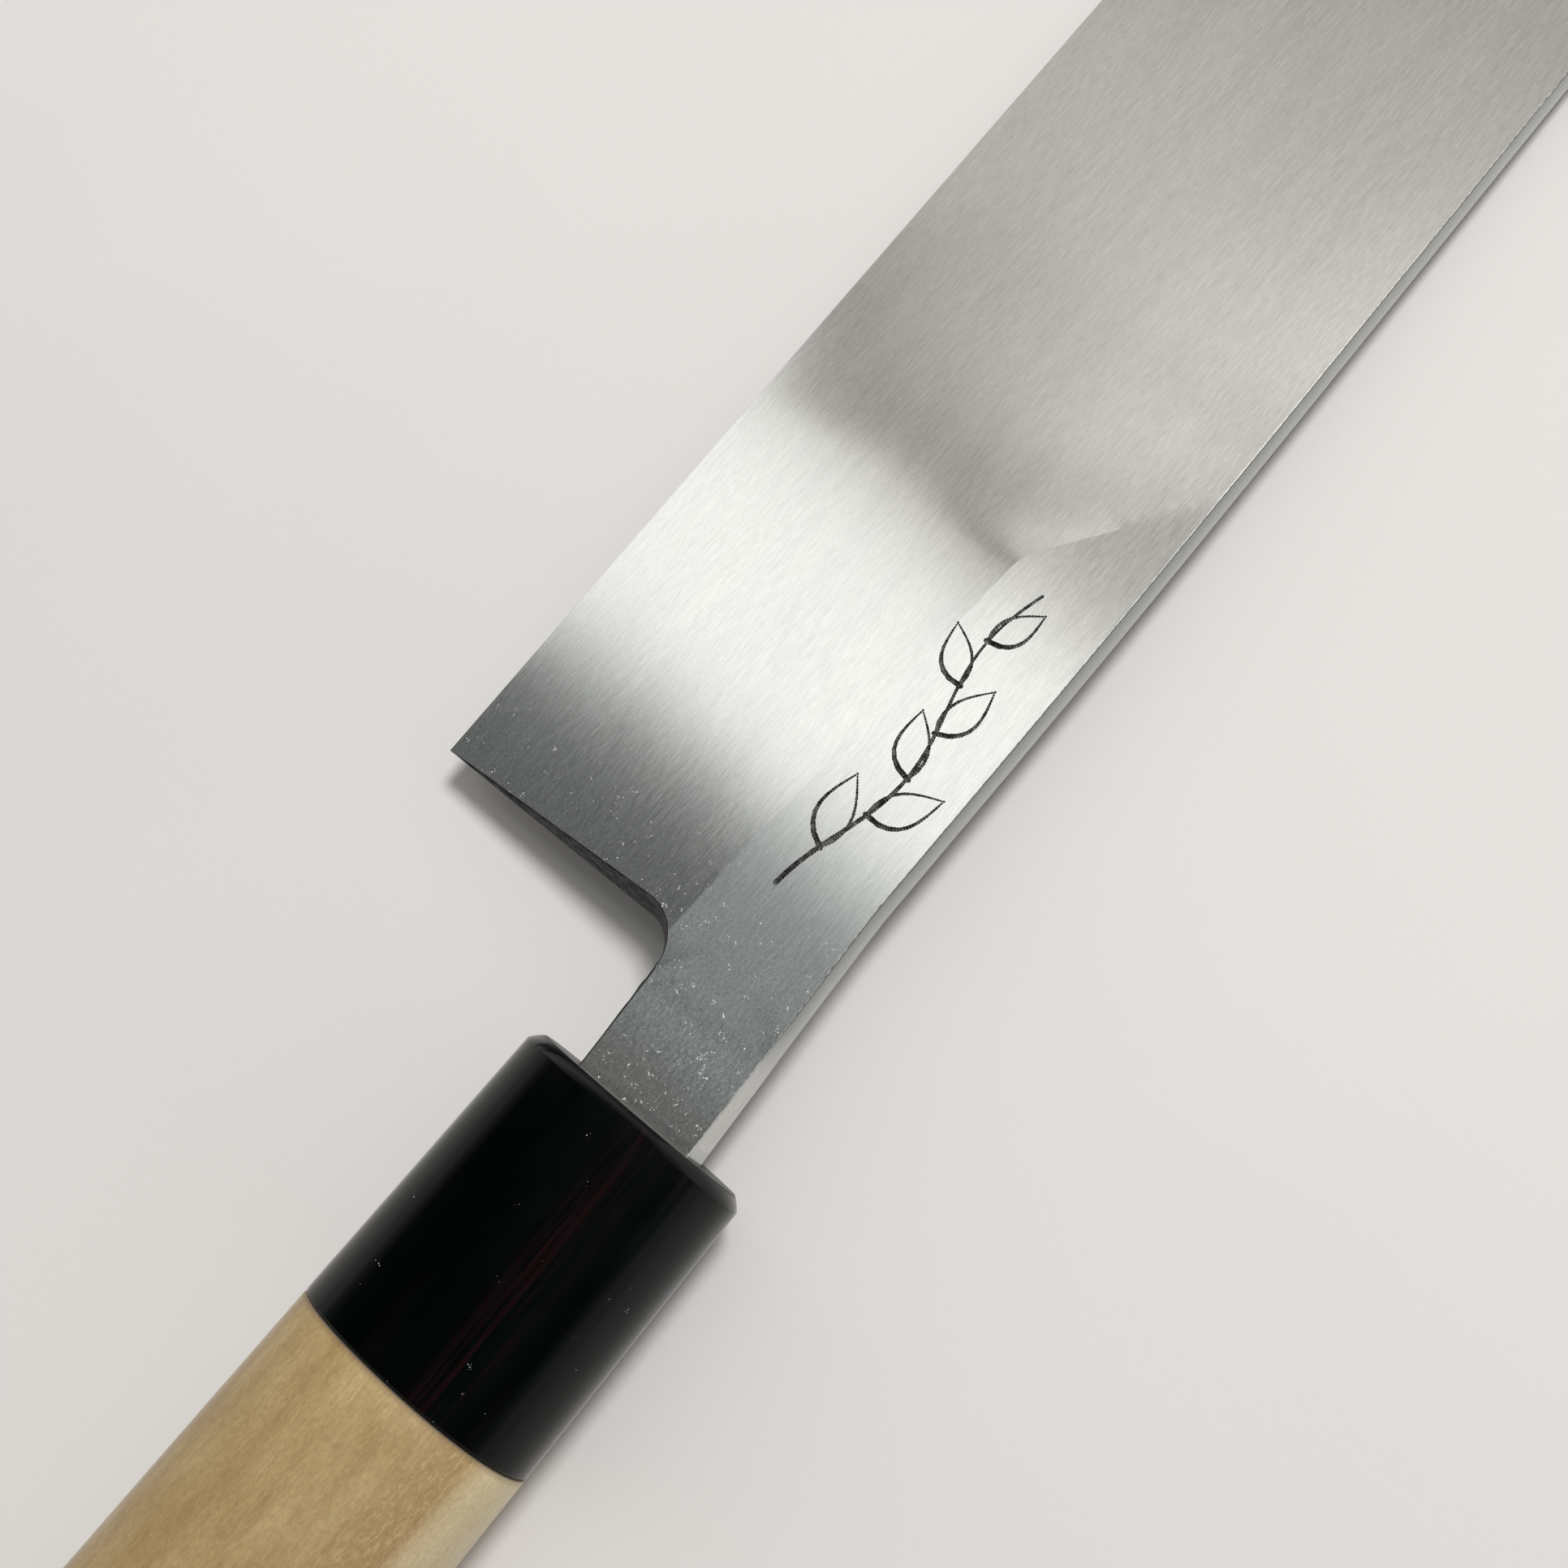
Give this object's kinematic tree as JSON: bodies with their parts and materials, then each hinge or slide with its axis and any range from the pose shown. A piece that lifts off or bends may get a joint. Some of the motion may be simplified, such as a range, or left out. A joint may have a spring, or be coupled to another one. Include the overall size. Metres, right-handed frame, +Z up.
{
  "type": "eel knife",
  "caption": "Single-bevel eel-opening knife lying on its flat back: slanted pointed tip, straight edge, hidden tang, black ferrule and oval wooden handle.",
  "frame": {"origin": "middle of the knife's box on the table it lies on", "axes": "+X along the knife towards the tip, +Y across it towards the cutting edge, +Z up, out of the bevelled face"},
  "size_m": [0.3632, 0.056, 0.0281],
  "materials": {
    "blade_steel": "satin ground along the blade, with a dark rough chin and a mottled unpolished neck",
    "ferrule_plastic": "polished black plastic with faint darker streaks along it",
    "handle_wood": "bare pale magnolia wood, sanded, with darker streaks along the grain"
  },
  "bodies": {
    "root": {"blade": "blade_steel", "ferrule": "ferrule_plastic", "handle": "handle_wood"}
  },
  "joints": []
}
